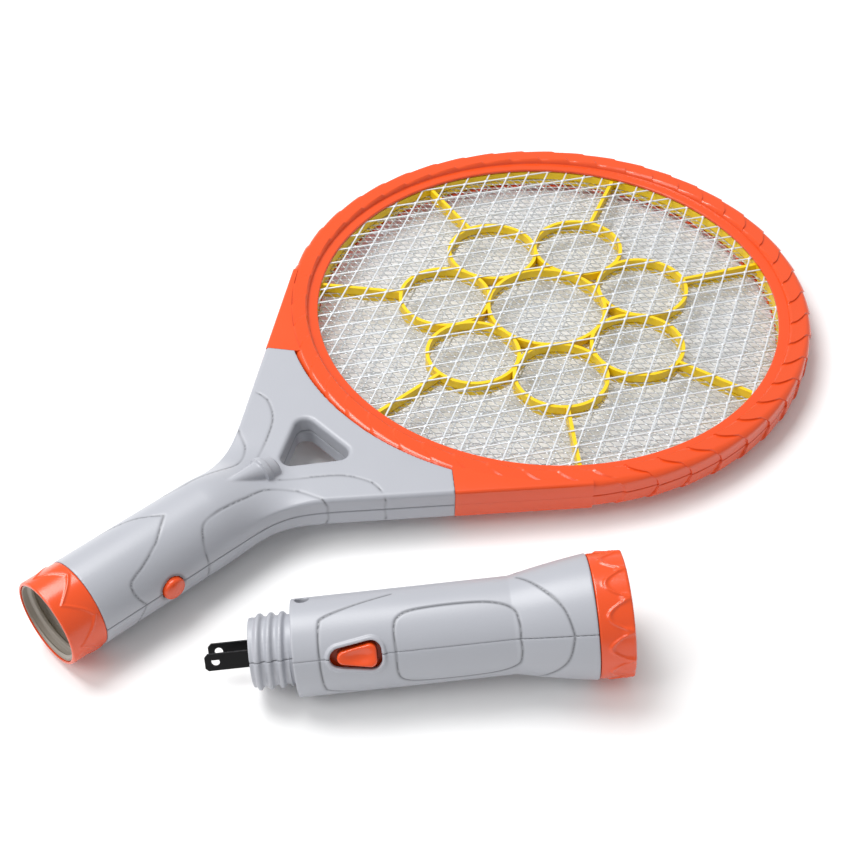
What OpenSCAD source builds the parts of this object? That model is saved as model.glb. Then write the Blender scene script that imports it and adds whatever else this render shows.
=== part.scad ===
// Electric fly swatter whose handle takes a screw-in torch. The racket lies flat
// and the torch lies beside it. X runs from the mouth of the handle to the head,
// Z is square to the head and points up. The origin is the centre of the mouth.
// Sizes are in millimetres.

/* [Handle] */
// Outer diameter of the handle and of its collar
handle_d = 37; // [33:0.5:45]
// Wall of the handle shells
handle_wall = 2.2; // [1.8:0.1:2.8]
// Length of the collar round the mouth
collar_len = 15.5; // [12:0.5:20]
// Wall of the collar
collar_wall = 1.5; // [1.2:0.1:2]
// Length of the threaded sleeve inside the mouth
sleeve_len = 19.5; // [16:0.5:24]
// Where the round grip ends, from the mouth
grip_len = 80; // [70:1:100]

/* [Neck] */
// Thickness of the neck, both shells together
neck_t = 15; // [12:0.5:18]
// Angle of the neck's arms to the racket's axis
arm_angle = 38; // [34:1:42]
// Radius that blends the grip into the arms
blend_r = 60; // [40:1:75]
// Length of the orange shoulder beyond each arm, along its outer edge
shoulder_len = 55; // [45:1:62]
// Length of the window in the neck
window_len = 25; // [20:0.5:28]
// Width of the window at its wide end
window_w = 30; // [24:0.5:34]
// Radius of the window's corners
window_r = 4.5; // [3:0.5:5]

/* [Head] */
// Distance from the mouth to the near edge of the head
head_start = 154.5; // [140:0.5:170]
// Outer diameter of the head
head_d = 241; // [200:1:250]
// Width of the head's frame
frame_w = 14.5; // [12:0.5:18]
// Height of the frame's flange above the middle plane
flange_z = 4.5; // [4.2:0.1:5]
// Thickness of the flange that holds the meshes
flange_t = 1.3; // [1:0.1:1.6]

/* [Meshes] */
// Distance between strands of the outer meshes
outer_pitch = 9.2; // [7:0.1:12]
// Width of the outer meshes' strands
outer_wire = 1; // [0.8:0.1:1.4]
// Distance between strands of the electrode mesh
inner_pitch = 3.3; // [3:0.1:5]
// Width of the electrode mesh's strands
inner_wire = 0.5; // [0.4:0.1:0.7]
// Angle of the strands to the long axis of a diamond
strand_angle = 28.5; // [25:0.5:45]
// Thickness of the outer meshes
outer_mesh_t = 0.8; // [0.6:0.1:1]
// Thickness of the electrode mesh
inner_mesh_t = 0.6; // [0.5:0.1:0.8]

/* [Spacers] */
// Width of the spacers' ribs
rib_w = 1.6; // [1.2:0.1:2.4]
// Number of loops in the spacer's wreath
loop_count = 7; // [5:1:9]
// Height of the upper spacer
upper_spacer_h = 4; // [3.5:0.1:4.2]
// Height of the lower spacer
lower_spacer_h = 2.2; // [1.8:0.1:2.4]

/* [Racket button] */
// Distance of the button from the mouth
button_x = 46.6; // [45:0.1:60]
// Diameter of the button
button_d = 9.6; // [8:0.1:11]
// Travel of the button
button_travel = 1.5; // [1:0.1:1.6]

/* [Torch] */
// Length of the threaded neck of the torch
neck_len = 16.5; // [15:0.5:18.5]
// Diameter over the thread's crests
thread_d = 28.8; // [26:0.1:29]
// Depth of the thread
thread_h = 1.4; // [1:0.1:1.6]
// Distance between the thread's crests
thread_pitch = 4.6; // [4:0.1:5]
// Length of the straight tube of the torch
tube_len = 82; // [80:1:100]
// Length of the flare before the bezel
flare_len = 30; // [25:1:40]
// Diameter of the bezel
bezel_d = 48.8; // [46:0.1:56]
// Length of the bezel
bezel_len = 13.5; // [12:0.5:16]
// Wall of the torch shells
torch_wall = 2.2; // [1.8:0.1:2.6]
// Direction that the torch points to, seen from above
torch_yaw = -38.5; // [-60:0.5:-30]
// Turn of the torch about its own axis
torch_roll = -34; // [-50:1:0]
// Place of the torch's neck on the table, along the racket
torch_x = 49.7; // [40:0.1:70]
// Place of the torch's neck on the table, away from the racket
torch_y = -62.9; // [-90:0.1:-60]

/* [Torch switch] */
// Middle of the switch's recess, from the end of the torch's neck
switch_s = 39.5; // [38:0.5:45]
// Length of the recess
switch_slot = 21.7; // [20:0.1:24]
// Length of the switch's button
switch_len = 17.5; // [15:0.1:18]
// Width of the switch's button at its wide end
switch_w = 11; // [9:0.5:11.5]

/* [Plug] */
// Width of a blade
blade_w = 6.35;
// Thickness of a blade
blade_t = 1.5;
// Length of the blades outside the neck
blade_len = 17;
// Distance between the blades
blade_gap = 12.7;
// Diameter of the hole in a blade
blade_hole = 3.2; // [3:0.1:3.4]

/* [Hidden] */
$fn = 96;
e = 0.01;
fit = 0.3;
slip = 0.05;
handle_r = handle_d / 2;
bore_r = handle_r - handle_wall;
sleeve_r = handle_r - collar_wall;
seat_len = sleeve_len + 0.5;
half_t = neck_t / 2;
head_r = head_d / 2;
open_r = head_r - frame_w;
head_x = head_start + head_r;
stack_r = head_r - 4;
stack_ri = open_r + 0.3;
wreath_r = open_r * 0.45;
loop_r = wreath_r * sin(180 / loop_count);
mesh_ri = open_r + 3;
bead_r = open_r + 4.5;
arm_x = head_x - head_r * sin(arm_angle);
arm_y = head_r * cos(arm_angle);
corner_x = arm_x - (arm_y - handle_r) / tan(arm_angle);
blend_t = blend_r * tan(arm_angle / 2);
window_end = head_x - head_r - 12;
window_x = window_end - window_len;
neck_x = window_x - 2;
neck_w = 2 * (handle_r + 11.5);
upper_mesh_z = flange_z - flange_t - outer_mesh_t;
electrode_z = upper_mesh_z - upper_spacer_h - inner_mesh_t;
lower_mesh_z = electrode_z - lower_spacer_h - outer_mesh_t;
lower_flange_z = lower_mesh_z - flange_t;
tongue_r = head_r + 9.5;
tongue_a = 13;
tongue_t = 4.6;
screw_r = 1.3;
screw_head_r = 2.75;
tongue_screw = [head_x - (head_r + 5) * cos(10), (head_r + 5) * sin(10)];
rear_screw_x = window_x - 10;
lead_angles = [-18, 18];

// Torch, along its own axis from the end of its neck
tube_r = handle_r;
tube_ri = tube_r - torch_wall;
crest_r = thread_d / 2;
root_r = crest_r - thread_h;
throat_r = root_r - torch_wall + 0.2;
tube_end = neck_len + tube_len;
flare_end = tube_end + flare_len;
bezel_r = bezel_d / 2;
flare_r = bezel_r - 0.5;
spigot_r = flare_r - torch_wall;
spigot_len = bezel_len - 5.5;
spigot_end = flare_end + spigot_len;
torch_end = flare_end + bezel_len;
lens_r = spigot_r + 0.3;
led_s = tube_end + 8;
seam_lie = atan((bezel_r - tube_r) / (torch_end - 2.5 - neck_len));
racket_lie = atan((handle_r - half_t) / (head_x + head_r - grip_len));
torch_axis_z = -handle_r + (torch_x - grip_len) * tan(racket_lie) + tube_r - neck_len * tan(seam_lie) + 0.15;
torch_tilt = seam_lie + atan(tan(racket_lie) * cos(torch_yaw));
carrier_r = throat_r - slip;
screw_s = neck_len + 4.5;
cell_d = 16;
cell_len = 34;
cell_s = screw_s + 4.5;
plug_turn = 48.7296;

// Lays the torch beside the racket
module torch_place() {
    translate([torch_x, torch_y, torch_axis_z])
        rotate([0, 0, torch_yaw])
            rotate([0, -torch_tilt, 0])
                rotate([torch_roll, 0, 0])
                    children();
}

// Turns a profile of [distance, radius] points about the X axis
module turned(points) {
    rotate([0, 90, 0])
        rotate_extrude()
            polygon([for (p = points) [p[1], p[0]]]);
}

// Rod along X
module rod(r, length) {
    rotate([0, 90, 0])
        cylinder(r = r, h = length);
}

// Ring square to Z, from z up
module ring(r_in, r_out, z, h) {
    translate([head_x, 0, z])
        difference() {
            cylinder(r = r_out, h = h, $fn = 180);
            translate([0, 0, -1])
                cylinder(r = r_in, h = h + 2, $fn = 180);
        }
}

// Neck and shoulders seen from above, from the grip to the points where the arms touch the head
function blend_point(i) = let (a = arm_angle * i / 8)
    [corner_x - blend_t + blend_r * sin(a), handle_r + blend_r * (1 - cos(a))];

function half_outline() = concat([[grip_len - 20, handle_r]], [for (i = [0:8]) blend_point(i)], [[arm_x, arm_y]]);

function mirrored(points) = [for (i = [len(points) - 1:-1:0]) [points[i][0], -points[i][1]]];

module yoke_shape() {
    difference() {
        polygon(concat(half_outline(), mirrored(half_outline())));
        translate([head_x, 0])
            circle(r = head_r + 0.2, $fn = 180);
    }
}

// Puts a shape at the end of the arm on one side, with X along its outer edge
module at_arm(side) {
    mirror([0, side < 0 ? 1 : 0])
        translate([arm_x, arm_y])
            rotate(arm_angle)
                children();
}

module shoulder_shape() {
    intersection() {
        difference() {
            polygon(concat(half_outline(), mirrored(half_outline())));
            translate([head_x, 0])
                circle(r = open_r + 8, $fn = 180);
        }
        for (side = [-1, 1])
            at_arm(side)
                translate([-shoulder_len, -30])
                    square([shoulder_len + 1, 31]);
    }
}

module window_shape() {
    hull() {
        translate([window_x + window_r, 0])
            circle(r = window_r, $fn = 32);
        for (side = [-1, 1])
            translate([window_end - window_r, side * (window_w / 2 - window_r)])
                circle(r = window_r, $fn = 32);
    }
}

module neck_shape() {
    difference() {
        yoke_shape();
        for (side = [-1, 1])
            at_arm(side)
                translate([-shoulder_len - 0.15, -30])
                    square([shoulder_len + 20, 40]);
        window_shape();
    }
}

module tongue_shape(extra) {
    translate([head_x, 0])
        rotate(180 - tongue_a)
            rotate_extrude_sector(2 * tongue_a, head_r - 3, tongue_r + extra);
}

// Flat sector between two radii, starting on the X axis
module rotate_extrude_sector(angle, r_in, r_out) {
    intersection() {
        difference() {
            circle(r = r_out, $fn = 180);
            circle(r = r_in, $fn = 180);
        }
        polygon([[0, 0], [2 * r_out, 0], [2 * r_out * cos(angle), 2 * r_out * sin(angle)]]);
    }
}

// The neck's outside: a blend from the round grip to the flat neck, inside the neck's outline
module neck_body(inset) {
    intersection() {
        hull() {
            translate([grip_len - 1, 0, 0])
                rod(handle_r - inset, 1);
            translate([neck_x, -neck_w / 2 + inset, -half_t + inset])
                cube([1, neck_w - 2 * inset, neck_t - 2 * inset]);
        }
        translate([0, 0, -handle_r])
            linear_extrude(2 * handle_r)
                offset(delta = -inset)
                    polygon(concat(half_outline(), mirrored(half_outline())));
    }
}

module handle_hollow() {
    rod(bore_r, grip_len);
    rod(sleeve_r, seat_len);
    difference() {
        neck_body(handle_wall);
        translate([0, 0, -handle_r])
            linear_extrude(2 * handle_r)
                offset(delta = handle_wall)
                    window_shape();
    }
    translate([0, 0, -half_t + handle_wall])
        linear_extrude(neck_t - 2 * handle_wall)
            difference() {
                offset(delta = -handle_wall)
                    neck_shape();
                translate([-1, -100])
                    square([neck_x + 1, 200]);
            }
}

module neck_screw_places() {
    translate([rear_screw_x, 0, 0])
        children();
    for (side = [-1, 1])
        translate([tongue_screw[0], side * tongue_screw[1], 0])
            children();
}

module lead_holes() {
    for (a = lead_angles)
        translate([head_x, 0, a < 0 ? upper_mesh_z + outer_mesh_t / 2 : electrode_z + inner_mesh_t / 2])
            rotate([0, 0, 180 + a])
                translate([stack_r, 0, 0])
                    rod(0.8, 20);
}

// One handle shell. side is 1 for the upper one and -1 for the lower one
module handle_shell(side) {
    difference() {
        union() {
            difference() {
                union() {
                    translate([collar_len, 0, 0])
                        rod(handle_r, grip_len - collar_len);
                    difference() {
                        neck_body(0);
                        translate([0, 0, -handle_r])
                            linear_extrude(2 * handle_r)
                                window_shape();
                    }
                    translate([0, 0, -half_t])
                        linear_extrude(neck_t)
                            difference() {
                                neck_shape();
                                translate([-1, -100])
                                    square([neck_x + 1, 200]);
                            }
                }
                handle_hollow();
            }
            intersection() {
                neck_screw_places()
                    translate([0, 0, -handle_r])
                        cylinder(r = screw_head_r + 1, h = 2 * handle_r, $fn = 48);
                union() {
                    neck_body(1);
                    translate([neck_x, -50, -half_t + 1])
                        cube([head_x, 100, neck_t - 2]);
                }
            }
        }
        // Room for the tongues of the head's frames
        translate([0, 0, -tongue_t - fit / 2])
            linear_extrude(2 * tongue_t + fit)
                tongue_shape(0.4);
        neck_screw_places() {
            translate([0, 0, -handle_r])
                cylinder(r = screw_r + slip, h = handle_r + half_t - 1.6, $fn = 48);
            translate([0, 0, -handle_r - 10])
                cylinder(r = screw_head_r + slip, h = handle_r - half_t + 12.2, $fn = 48);
        }
        lead_holes();
        // Hole for the button, on the seam
        translate([button_x, -handle_r + 8, 0])
            rotate([90, 0, 0])
                cylinder(r = button_d / 2 + 0.25, h = 20);
        translate([-10, -200, side > 0 ? -100 : 0])
            cube([head_x, 400, 100]);
    }
}

module handle_top_shell() {
    color("whitesmoke")
        handle_shell(1);
}

module handle_bottom_shell() {
    color("whitesmoke")
        handle_shell(-1);
}

module handle_collar() {
    color("orangered")
        turned([[0, sleeve_r], [0, handle_r - 0.6], [0.6, handle_r], [collar_len, handle_r], [collar_len, sleeve_r]]);
}

// Sleeve with an internal thread, drawn as rings
module thread_sleeve() {
    thread_gap_r = crest_r + 0.4;
    color("white")
        union() {
            turned([[0.6, thread_gap_r + thread_h], [0.6, sleeve_r], [sleeve_len, sleeve_r],
                [sleeve_len, thread_gap_r + thread_h]]);
            for (x = [2:thread_pitch:sleeve_len - 2])
                turned([[x - 1.3, thread_gap_r + thread_h + e], [x - 0.5, thread_gap_r], [x + 0.5, thread_gap_r],
                    [x + 1.3, thread_gap_r + thread_h + e]]);
        }
}

// Profile of a head frame from its middle plane outwards, with the flange at height z
module frame_ring(z) {
    translate([head_x, 0, 0])
        rotate_extrude($fn = 180)
            polygon([[stack_r + 0.2, 0], [stack_r + 0.2, z - flange_t], [open_r, z - flange_t], [open_r, z],
                [bead_r, z], [bead_r, half_t - 0.8], [bead_r + 1.5, half_t], [head_r - 2.2, half_t],
                [head_r, half_t - 2.2], [head_r, 0]]);
}

module head_frame(z) {
    difference() {
        union() {
            frame_ring(z);
            linear_extrude(half_t)
                difference() {
                    shoulder_shape();
                    translate([head_x, 0])
                        circle(r = head_r - 2, $fn = 180);
                }
            linear_extrude(tongue_t)
                tongue_shape(0);
        }
        neck_screw_places()
            translate([0, 0, -1])
                cylinder(r = screw_r + slip, h = half_t + 2, $fn = 48);
    }
}

module head_frame_top() {
    color("orangered")
        difference() {
            head_frame(flange_z);
            lead_holes();
        }
}

module head_frame_bottom() {
    color("orangered")
        difference() {
            mirror([0, 0, 1])
                head_frame(-lower_flange_z);
            lead_holes();
        }
}

// Disc of strands in two layers that run both ways, held by a rim
module diamond_mesh(z, t, pitch, wire, turn) {
    reach = mesh_ri + 3;
    layer = t * 0.4;
    count = floor(reach / pitch);
    ring(mesh_ri, stack_r - 0.1, z, t);
    for (side = [-1, 1])
        for (i = [-count:count]) {
            d = i * pitch;
            chord = 2 * sqrt(pow(mesh_ri + 1, 2) - d * d);
            if (abs(d) < mesh_ri)
                translate([head_x, 0, z + (side < 0 ? 0.08 * t : 0.52 * t)])
                    rotate([0, 0, turn + side * strand_angle])
                        translate([-chord / 2, d - wire / 2, 0])
                            cube([chord, wire, layer]);
        }
}

module outer_mesh_top() {
    color("gainsboro")
        diamond_mesh(upper_mesh_z, outer_mesh_t, outer_pitch, outer_wire, 0);
}

module outer_mesh_bottom() {
    color("gainsboro")
        diamond_mesh(lower_mesh_z, outer_mesh_t, outer_pitch, outer_wire, 0);
}

module electrode_mesh() {
    color("silver")
        diamond_mesh(electrode_z, inner_mesh_t, inner_pitch, inner_wire, 110);
}

// Ribs of a spacer: a wreath of equal round loops that touch, a ring inside it, and a spoke from each loop
module hoop(r) {
    difference() {
        circle(r = r + rib_w / 2, $fn = 96);
        circle(r = r - rib_w / 2, $fn = 96);
    }
}

module ribs() {
    hoop(wreath_r - loop_r);
    for (i = [0:loop_count - 1])
        rotate(360 / loop_count * (i + 0.5)) {
            translate([wreath_r, 0])
                hoop(loop_r);
            translate([wreath_r + loop_r, -rib_w / 2])
                square([stack_ri + 1 - wreath_r - loop_r, rib_w]);
        }
}

module spacer(z, h) {
    ring(stack_ri, stack_r - 0.1, z, h);
    translate([head_x, 0, z])
        linear_extrude(h)
            ribs();
}

module spacer_upper() {
    color("gold")
        spacer(electrode_z + inner_mesh_t, upper_spacer_h);
}

module spacer_lower() {
    color("gold")
        spacer(electrode_z - lower_spacer_h, lower_spacer_h);
}

// Block behind the sleeve, with slots for the torch's blades
module contact_block() {
    color("ivory")
        rotate([plug_turn, 0, 0])
            difference() {
                union() {
                    translate([seat_len, 0, 0])
                        rod(bore_r - 0.02, 3.5);
                    translate([seat_len, -11, -5.5])
                        cube([19.5, 22, 11]);
                }
                for (side = [-1, 1])
                    translate([seat_len - 1, side * blade_gap / 2 - 1.9, -4])
                        cube([18, 3.8, 8]);
            }
}

module contact_springs() {
    color("goldenrod")
        rotate([plug_turn, 0, 0])
            for (side = [-1, 1])
                translate([seat_len + 0.5, side * (blade_gap / 2 + 1.65) - 0.25, -2.5])
                    cube([16.5, 0.5, 5]);
}

board_x = 42;
board_z = -5.6;

module high_voltage_board() {
    color("seagreen")
        translate([board_x, 6.8 - handle_r, board_z])
            cube([grip_len - board_x + 2, 2 * handle_r - 10.3, 1.6]);
}

module transformer() {
    color("dimgray")
        translate([board_x + 16, -6, board_z + 1.6])
            difference() {
                cube([14, 14, 12]);
                translate([-1, 3.5, 12.5])
                    rotate([0, 90, 0])
                        cylinder(r = 2.5, h = 16, $fn = 32);
            }
}

module capacitor() {
    color("crimson")
        translate([grip_len - 5, -6.5, board_z + 1.6])
            cube([6, 13, 10]);
}

module push_switch() {
    color("black")
        translate([button_x - 3, -handle_r + 6.5, board_z + 1.6])
            cube([6, 4, 7]);
}

// Flat wire through points of one height
module wire(points, t) {
    translate([0, 0, -t / 2])
        linear_extrude(t)
            for (i = [0:len(points) - 2]) {
                d = points[i + 1] - points[i];
                translate(points[i]) {
                    rotate(atan2(d[1], d[0]))
                        translate([0, -t / 2])
                            square([norm(d), t]);
                    circle(r = 0.6 * t, $fn = 24);
                }
            }
}

// Two wires from the board to the meshes, round the window
module electrode_leads() {
    color("crimson")
        for (a = lead_angles) {
            z = a < 0 ? upper_mesh_z + outer_mesh_t / 2 : electrode_z + inner_mesh_t / 2;
            side = a < 0 ? 1 : -1;
            ray = [-cos(a), side * sin(abs(a))];
            translate([0, 0, z])
                wire([[grip_len, side * 9], [window_x, side * (window_w / 2 + 4)],
                    [head_x, 0] + ray * (head_r + 4), [head_x, 0] + ray * stack_r], 1);
            translate([grip_len, side * 9, board_z + 1.6])
                cylinder(r = 0.8, h = z - board_z - 1.6, $fn = 24);
        }
}

module neck_screws() {
    color("lightgray")
        neck_screw_places() {
            translate([0, 0, -half_t + 0.4])
                cylinder(r = screw_head_r, h = 1.8, $fn = 48);
            translate([0, 0, -half_t + 2])
                cylinder(r = screw_r, h = neck_t - 4.2, $fn = 48);
        }
}

// Domed button with a flange inside the shells
module racket_button() {
    color("orangered")
        translate([button_x, -handle_r, 0])
            rotate([90, 0, 0])
                rotate_extrude()
                    polygon([[0, -4.9], [button_d / 2 + 1.2, -4.9], [button_d / 2 + 1.2, -3.9],
                        [button_d / 2, -3.9], [button_d / 2, 0.4], [button_d / 2 - 0.8, 1.3],
                        [button_d / 2 - 2, 1.9], [button_d / 4, 2.2], [0, 2.3]]);
}

// Torch outside, from the neck's thread to the bezel's spigot
function thread_ring(s) = [[s - 1.4, root_r], [s - 0.45, crest_r], [s + 0.45, crest_r], [s + 1.4, root_r]];

function thread_points() = [for (i = [0:2]) for (p = thread_ring(3.4 + i * thread_pitch)) p];

function flare_point(i, base) = let (t = i / 6)
    [tube_end + flare_len * t, base + (flare_r - tube_r) * (1.25 * t - 0.25 * t * t)];

function torch_outside() = concat([[0, root_r - 0.6], [0.6, root_r]], thread_points(),
    [[neck_len, root_r], [neck_len, tube_r - 0.6], [neck_len + 0.6, tube_r]],
    [for (i = [0:6]) flare_point(i, tube_r)], [[flare_end, spigot_r], [spigot_end, spigot_r]]);

function torch_inside() = concat([[spigot_end, spigot_r - 2]],
    [for (i = [6:-1:0]) flare_point(i, i == 6 ? tube_ri - 2 : tube_ri)],
    [[neck_len + 2.2, tube_ri], [neck_len + 2.2, throat_r], [0, throat_r]]);

// Recess of the switch, on the seam
module switch_hole() {
    rotate([90, 0, 0])
        linear_extrude(tube_r + 2)
            translate([switch_s - switch_slot / 2, 0])
                hull()
                    for (x = [3, switch_slot - 3], z = [-1, 1])
                        translate([x, z * (switch_w / 2 + 0.7 - 3)])
                            circle(r = 3, $fn = 32);
}

module torch_shell(side) {
    difference() {
        union() {
            turned(concat(torch_outside(), torch_inside()));
            intersection() {
                for (s = [screw_s])
                    translate([s, 0, -tube_r])
                        cylinder(r = screw_head_r + 1.4, h = 2 * tube_r, $fn = 48);
                rod(tube_ri + 0.5, tube_end + 10);
            }
        }
        for (s = [screw_s]) {
            translate([s, 0, -8])
                cylinder(r = screw_r + slip, h = 40, $fn = 48);
            translate([s, 0, 8])
                cylinder(r = screw_head_r + slip, h = 20, $fn = 48);
        }
        switch_hole();
        translate([-1, -50, side > 0 ? -50 : 0])
            cube([torch_end, 100, 50]);
    }
}

module torch_upper_shell() {
    color("whitesmoke")
        torch_place()
            torch_shell(1);
}

module torch_lower_shell() {
    color("whitesmoke")
        torch_place()
            torch_shell(-1);
}

module torch_bezel() {
    rim_s = torch_end - bezel_len + 0.2;
    color("orangered")
        torch_place()
            union() {
                turned([[rim_s, spigot_r + slip], [rim_s, flare_r - 0.6], [rim_s + 0.6, flare_r], [torch_end - 1, flare_r],
                    [torch_end, flare_r - 1], [torch_end, lens_r - 2], [torch_end - 2, lens_r - 2],
                    [torch_end - 2, lens_r + slip], [spigot_end, lens_r + slip], [spigot_end, spigot_r + slip]]);
                for (i = [0:11])
                    rotate([i * 30, 0, 0])
                        translate([torch_end - 2.6, 0, bezel_r - 1.1])
                            sphere(r = 1.1, $fn = 24);
            }
}

module torch_lens() {
    color("lightcyan", 0.5)
        torch_place()
            translate([torch_end - 4, 0, 0])
                rod(lens_r, 2);
}

module torch_reflector() {
    front = torch_end - 4;
    color("silver")
        torch_place()
            turned([[led_s + 4, 10], [front - 1.2, spigot_r - 2.6], [front - 1.2, lens_r], [front, lens_r],
                [front, spigot_r - 3.6], [led_s + 5, 9.2]]);
}

module led_board() {
    color("white")
        torch_place()
            translate([led_s, 0, 0])
                rod(tube_ri + 0.02, 1.6);
}

module leds() {
    color("azure")
        torch_place()
            for (i = [0:4])
                rotate([i < 4 ? i * 90 + 45 : 0, 0, 0])
                    translate([led_s + 1.6, 0, i < 4 ? 6 : 0]) {
                        rod(2.5, 5);
                        translate([5, 0, 0])
                            sphere(r = 2.5, $fn = 32);
                    }
}

module charging_board() {
    color("seagreen")
        torch_place()
            translate([neck_len + 13, tube_r - 6.1, -8])
                cube([46, 1.6, 16]);
}

module torch_switch_body() {
    color("black")
        torch_place()
            translate([switch_s - 6, -11.8, -5])
                cube([12, 4.6, 10]);
}

module torch_screws() {
    color("lightgray")
        torch_place()
            for (s = [screw_s]) {
                translate([s, 0, 8])
                    cylinder(r = screw_head_r, h = 2, $fn = 48);
                translate([s, 0, -7])
                    cylinder(r = screw_r, h = 16, $fn = 48);
            }
}

module plug_carrier() {
    color("black")
        torch_place()
            difference() {
                union() {
                    translate([1.2, 0, 0])
                        rod(carrier_r, 3);
                    translate([4, -9, -5])
                        cube([10, 18, 10]);
                }
                for (side = [-1, 1])
                    translate([0, side * blade_gap / 2 - blade_t / 2, -blade_w / 2])
                        cube([12, blade_t, blade_w]);
            }
}

module plug_blades() {
    color("black")
        torch_place()
            for (side = [-1, 1])
                difference() {
                    translate([-blade_len, side * blade_gap / 2 - blade_t / 2, -blade_w / 2])
                        cube([blade_len + 12, blade_t, blade_w]);
                    translate([-blade_len + 4, side * blade_gap / 2, 0])
                        rotate([90, 0, 0])
                            cylinder(r = blade_hole / 2, h = 10, center = true, $fn = 32);
                    for (edge = [-1, 1])
                        translate([-blade_len, side * blade_gap / 2, edge * blade_w / 2])
                            rotate([0, 45, 0])
                                cube([1.6, 10, 1.6], center = true);
                }
}

module battery_cell() {
    color("steelblue")
        torch_place()
            translate([cell_s, 1.8, 0])
                rod(cell_d / 2, cell_len);
}

// Thumb button that slides along the torch, with a guide plate inside the shells
module torch_switch_button() {
    color("orangered")
        torch_place()
            difference() {
                union() {
                    rotate([90, 0, 0])
                        translate([0, 0, 12.4])
                            linear_extrude(tube_r + 0.8 - 12.4)
                                translate([switch_s - switch_len / 2 + 0.4, 0])
                                    hull() {
                                        for (z = [-1, 1]) {
                                            translate([2.5, z * (switch_w / 2 - 3.75)])
                                                circle(r = 2.5, $fn = 32);
                                            translate([switch_len - 3, z * (switch_w / 2 - 3)])
                                                circle(r = 3, $fn = 32);
                                        }
                                    }
                    translate([switch_s - switch_slot / 2 - 2.5, -13.4, -6.8])
                        cube([switch_slot + 5, 1.2, 13.6]);
                }
                translate([switch_s + 1, -tube_r - 24, 0])
                    sphere(r = 24, $fn = 96);
            }
}

handle_top_shell();
handle_bottom_shell();
handle_collar();
thread_sleeve();
head_frame_top();
head_frame_bottom();
outer_mesh_top();
outer_mesh_bottom();
electrode_mesh();
spacer_upper();
spacer_lower();
contact_block();
contact_springs();
high_voltage_board();
transformer();
capacitor();
push_switch();
electrode_leads();
neck_screws();
racket_button();
torch_upper_shell();
torch_lower_shell();
torch_bezel();
torch_lens();
torch_reflector();
led_board();
leds();
charging_board();
torch_switch_body();
torch_screws();
plug_carrier();
plug_blades();
battery_cell();
torch_switch_button();
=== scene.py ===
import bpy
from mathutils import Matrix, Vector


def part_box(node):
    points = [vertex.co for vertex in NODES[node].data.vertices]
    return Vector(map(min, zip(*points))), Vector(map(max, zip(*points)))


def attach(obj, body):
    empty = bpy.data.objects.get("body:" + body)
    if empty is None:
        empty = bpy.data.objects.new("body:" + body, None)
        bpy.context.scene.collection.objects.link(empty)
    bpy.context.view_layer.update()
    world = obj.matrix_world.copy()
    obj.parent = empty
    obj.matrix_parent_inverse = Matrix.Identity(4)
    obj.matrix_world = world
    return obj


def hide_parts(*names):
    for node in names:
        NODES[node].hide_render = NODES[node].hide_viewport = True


bl_info = {
    "name": "Electric fly swatter",
    "version": (1, 0, 0),
    "blender": (4, 5, 0),
    "location": "3D View > Sidebar > Swatter",
    "description": "Builds the visible pieces of an electric fly swatter and its torch round their CAD model",
    "category": "Object",
}

import math

import bmesh
import bpy
import numpy as np
from mathutils import Matrix, Vector

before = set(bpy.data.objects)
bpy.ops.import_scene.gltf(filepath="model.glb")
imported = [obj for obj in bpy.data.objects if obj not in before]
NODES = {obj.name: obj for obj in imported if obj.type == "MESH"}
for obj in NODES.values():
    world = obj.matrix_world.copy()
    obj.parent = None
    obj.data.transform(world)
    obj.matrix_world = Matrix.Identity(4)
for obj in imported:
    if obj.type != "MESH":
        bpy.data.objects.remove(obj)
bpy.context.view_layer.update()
MM = 0.001


def mm_box(node):
    """Lowest and highest corner of a CAD node, in millimetres."""
    low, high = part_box(node)
    return [v / MM for v in low], [v / MM for v in high]


# Sizes that the pieces share, in millimetres: the collar's and the head's are read from the CAD nodes they belong
# to, the rest are given.
COLLAR_HIGH = mm_box("handle_collar")[1]
RING_HIGH = mm_box("head_frame_top")[1]
GRIP_R = COLLAR_HIGH[2]
COLLAR_LEN = COLLAR_HIGH[0]
HEAD_R = RING_HIGH[1]
HEAD_X = RING_HIGH[0] - HEAD_R
HALF_T = RING_HIGH[2]
OPEN_R = HEAD_R - 14.5
GRIP_LEN = 80.0
ARM_ANGLE = math.radians(38)
BLEND_R = 60.0
SHOULDER_LEN = 55.0
WALL = 2.2
BUTTON_X = 46.6
SCREW_HEAD_R = 2.75
NECK_SCREWS = ((107.5, 0), (151.4, 21.8), (151.4, -21.8))

# The torch along its own axis, from the end of its neck.
TORCH_NECK = 16.5
TORCH_TUBE_END = 98.5
TORCH_FLARE_END = 128.5
TORCH_SPIGOT_END = 136.5
TORCH_END = 142.0
TUBE_R = 18.5
SWITCH_S = 40.0
SCREW_S = TORCH_NECK + 4.5
BEZEL_R = 24.4
FLARE_R = BEZEL_R - 0.5
TABLE_SLOPE = (GRIP_R - HALF_T) / (HEAD_X + HEAD_R - GRIP_LEN)


def torch_matrix():
    """Where the torch lies beside the racket, as in the CAD model, in millimetres."""
    lie = math.atan((BEZEL_R - TUBE_R) / (TORCH_END - 2.5 - TORCH_NECK))
    yaw, roll = math.radians(-38.5), math.radians(-34)
    tilt = lie + math.atan(TABLE_SLOPE * math.cos(yaw))
    x, y = 49.7, -62.9
    z = -GRIP_R + (x - GRIP_LEN) * TABLE_SLOPE + TUBE_R - TORCH_NECK * math.tan(lie) + 0.15
    turn = Matrix.Rotation(yaw, 4, "Z") @ Matrix.Rotation(-tilt, 4, "Y") @ Matrix.Rotation(roll, 4, "X")
    return Matrix.Translation((x, y, z)) @ turn


TORCH = torch_matrix()


# Sizes and colours to change

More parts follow.
